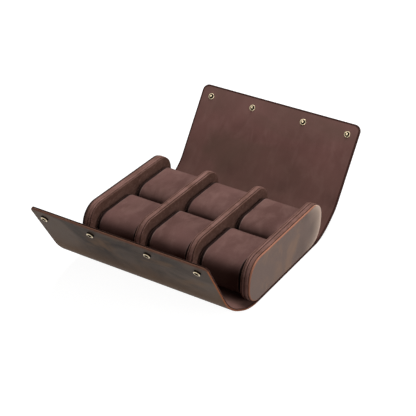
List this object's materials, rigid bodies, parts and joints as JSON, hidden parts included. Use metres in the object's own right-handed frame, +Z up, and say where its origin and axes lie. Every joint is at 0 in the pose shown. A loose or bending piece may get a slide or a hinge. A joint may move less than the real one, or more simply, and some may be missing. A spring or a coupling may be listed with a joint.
{
  "type": "watch travel case",
  "caption": "Open leather watch travel case: suede-lined tray with bays and loose pillows, in a wrap whose front and back flaps fold over and snap shut.",
  "frame": {"origin": "middle of the wrap's resting face, between the two root folds", "axes": "+Z up, +X along the case to the right, +Y towards the back flap"},
  "size_m": [0.248, 0.4048, 0.126],
  "materials": {
    "wrap_leather": "satin",
    "end_leather": "satin",
    "suede": "matte",
    "pillow_suede": "matte",
    "board": "matte",
    "foam": "matte",
    "snap_brass": "satin",
    "spring_steel": "satin"
  },
  "bodies": {
    "case_base": {"wrap_base_leather": "wrap_leather", "wrap_base_lining": "suede", "tray_base_board": "suede", "left_end_wall_cover": "suede", "left_end_wall_board": "board", "left_end_wall_facing": "suede", "left_end_panel": "end_leather", "right_end_wall_cover": "suede", "right_end_wall_board": "board", "right_end_wall_facing": "suede", "right_end_panel": "end_leather", "left_divider_cover": "suede", "left_divider_board": "board", "left_divider_facings": "suede", "right_divider_cover": "suede", "right_divider_board": "board", "right_divider_facings": "suede"},
    "front_fold_1": {"front_fold_1_leather": "wrap_leather", "front_fold_1_lining": "suede"},
    "front_fold_2": {"front_fold_2_leather": "wrap_leather", "front_fold_2_lining": "suede"},
    "front_fold_3": {"front_fold_3_leather": "wrap_leather", "front_fold_3_lining": "suede"},
    "front_fold_4": {"front_fold_4_leather": "wrap_leather", "front_fold_4_lining": "suede"},
    "front_fold_5": {"front_fold_5_leather": "wrap_leather", "front_fold_5_lining": "suede"},
    "back_fold_1": {"back_fold_1_leather": "wrap_leather", "back_fold_1_lining": "suede"},
    "back_fold_2": {"back_fold_2_leather": "wrap_leather", "back_fold_2_lining": "suede"},
    "back_fold_3": {"back_fold_3_leather": "wrap_leather", "back_fold_3_lining": "suede"},
    "back_fold_4": {"back_fold_4_leather": "wrap_leather", "back_fold_4_lining": "suede"},
    "back_fold_5": {"back_fold_5_leather": "wrap_leather", "back_fold_5_lining": "suede"},
    "front_flap": {"front_flap_leather": "wrap_leather", "front_flap_lining": "suede", "snap_sockets": "snap_brass", "snap_springs": "spring_steel", "snap_eyelets": "snap_brass"},
    "back_flap": {"back_flap_leather": "wrap_leather", "back_flap_lining": "suede", "snap_studs": "snap_brass", "snap_caps": "snap_brass"},
    "front_left_pillow": {"front_left_pillow_sleeve": "pillow_suede", "front_left_pillow_foam": "foam"},
    "front_middle_pillow": {"front_middle_pillow_sleeve": "pillow_suede", "front_middle_pillow_foam": "foam"},
    "front_right_pillow": {"front_right_pillow_sleeve": "pillow_suede", "front_right_pillow_foam": "foam"},
    "back_left_pillow": {"back_left_pillow_sleeve": "pillow_suede", "back_left_pillow_foam": "foam"},
    "back_middle_pillow": {"back_middle_pillow_sleeve": "pillow_suede", "back_middle_pillow_foam": "foam"},
    "back_right_pillow": {"back_right_pillow_sleeve": "pillow_suede", "back_right_pillow_foam": "foam"}
  },
  "joints": [
    {"name": "front_root_fold", "type": "hinge", "parent": "case_base", "child": "front_fold_1", "pos_m": [0, -0.07661, 0.0034], "axis": [1, 0, 0], "range_deg": [-18.3, 8.5]},
    {"name": "front_curve_fold_1", "type": "hinge", "parent": "front_fold_1", "child": "front_fold_2", "pos_m": [0, -0.0895, 0.00537], "axis": [1, 0, 0], "range_deg": [-20.33, 9.44]},
    {"name": "front_curve_fold_2", "type": "hinge", "parent": "front_fold_2", "child": "front_fold_3", "pos_m": [0, -0.10344, 0.01], "axis": [1, 0, 0], "range_deg": [-20.33, 9.45]},
    {"name": "front_curve_fold_3", "type": "hinge", "parent": "front_fold_3", "child": "front_fold_4", "pos_m": [0, -0.12441, 0.02117], "axis": [1, 0, 0], "range_deg": [-20.33, 9.45]},
    {"name": "front_curve_fold_4", "type": "hinge", "parent": "front_fold_4", "child": "front_fold_5", "pos_m": [0, -0.13706, 0.03094], "axis": [1, 0, 0], "range_deg": [-21.01, 9.76]},
    {"name": "front_tip_fold", "type": "hinge", "parent": "front_fold_5", "child": "front_flap", "pos_m": [0, -0.14747, 0.04237], "axis": [1, 0, 0], "range_deg": [-21.69, 10.08]},
    {"name": "back_root_fold", "type": "hinge", "parent": "case_base", "child": "back_fold_1", "pos_m": [0, 0.07683, 0.0034], "axis": [-1, 0, 0], "range_deg": [-28, 0]},
    {"name": "back_curve_fold_1", "type": "hinge", "parent": "back_fold_1", "child": "back_fold_2", "pos_m": [0, 0.09172, 0.0034], "axis": [-1, 0, 0], "range_deg": [-18.31, 17.37]},
    {"name": "back_curve_fold_2", "type": "hinge", "parent": "back_fold_2", "child": "back_fold_3", "pos_m": [0, 0.11085, 0.0095], "axis": [-1, 0, 0], "range_deg": [-16.28, 15.44]},
    {"name": "back_curve_fold_3", "type": "hinge", "parent": "back_fold_3", "child": "back_fold_4", "pos_m": [0, 0.13454, 0.02512], "axis": [-1, 0, 0], "range_deg": [-13.74, 13.03]},
    {"name": "back_curve_fold_4", "type": "hinge", "parent": "back_fold_4", "child": "back_fold_5", "pos_m": [0, 0.14236, 0.03342], "axis": [-1, 0, 0], "range_deg": [-10.17, 9.65]},
    {"name": "back_tip_fold", "type": "hinge", "parent": "back_fold_5", "child": "back_flap", "pos_m": [0, 0.15009, 0.0451], "axis": [-1, 0, 0], "range_deg": [-37, 0]},
    {"name": "front_left_pillow_lift", "type": "slide", "parent": "case_base", "child": "front_left_pillow", "axis": [0, 0, 1], "range_m": [0, 0.08]},
    {"name": "front_middle_pillow_lift", "type": "slide", "parent": "case_base", "child": "front_middle_pillow", "axis": [0, 0, 1], "range_m": [0, 0.08]},
    {"name": "front_right_pillow_lift", "type": "slide", "parent": "case_base", "child": "front_right_pillow", "axis": [0, 0, 1], "range_m": [0, 0.08]},
    {"name": "back_left_pillow_lift", "type": "slide", "parent": "case_base", "child": "back_left_pillow", "axis": [0, 0, 1], "range_m": [0, 0.08]},
    {"name": "back_middle_pillow_lift", "type": "slide", "parent": "case_base", "child": "back_middle_pillow", "axis": [0, 0, 1], "range_m": [0, 0.08]},
    {"name": "back_right_pillow_lift", "type": "slide", "parent": "case_base", "child": "back_right_pillow", "axis": [0, 0, 1], "range_m": [0, 0.08]}
  ],
  "couplings": [
    {"joint": "front_curve_fold_2", "follows": "front_curve_fold_1", "ratio": 1},
    {"joint": "front_curve_fold_3", "follows": "front_curve_fold_1", "ratio": 1},
    {"joint": "front_curve_fold_4", "follows": "front_curve_fold_1", "ratio": 1.0333},
    {"joint": "front_tip_fold", "follows": "front_root_fold", "ratio": 1.1852},
    {"joint": "back_curve_fold_2", "follows": "back_curve_fold_1", "ratio": 0.88889},
    {"joint": "back_curve_fold_3", "follows": "back_curve_fold_1", "ratio": 0.75},
    {"joint": "back_curve_fold_4", "follows": "back_curve_fold_1", "ratio": 0.55556},
    {"joint": "back_tip_fold", "follows": "back_root_fold", "ratio": 1.3214}
  ]
}
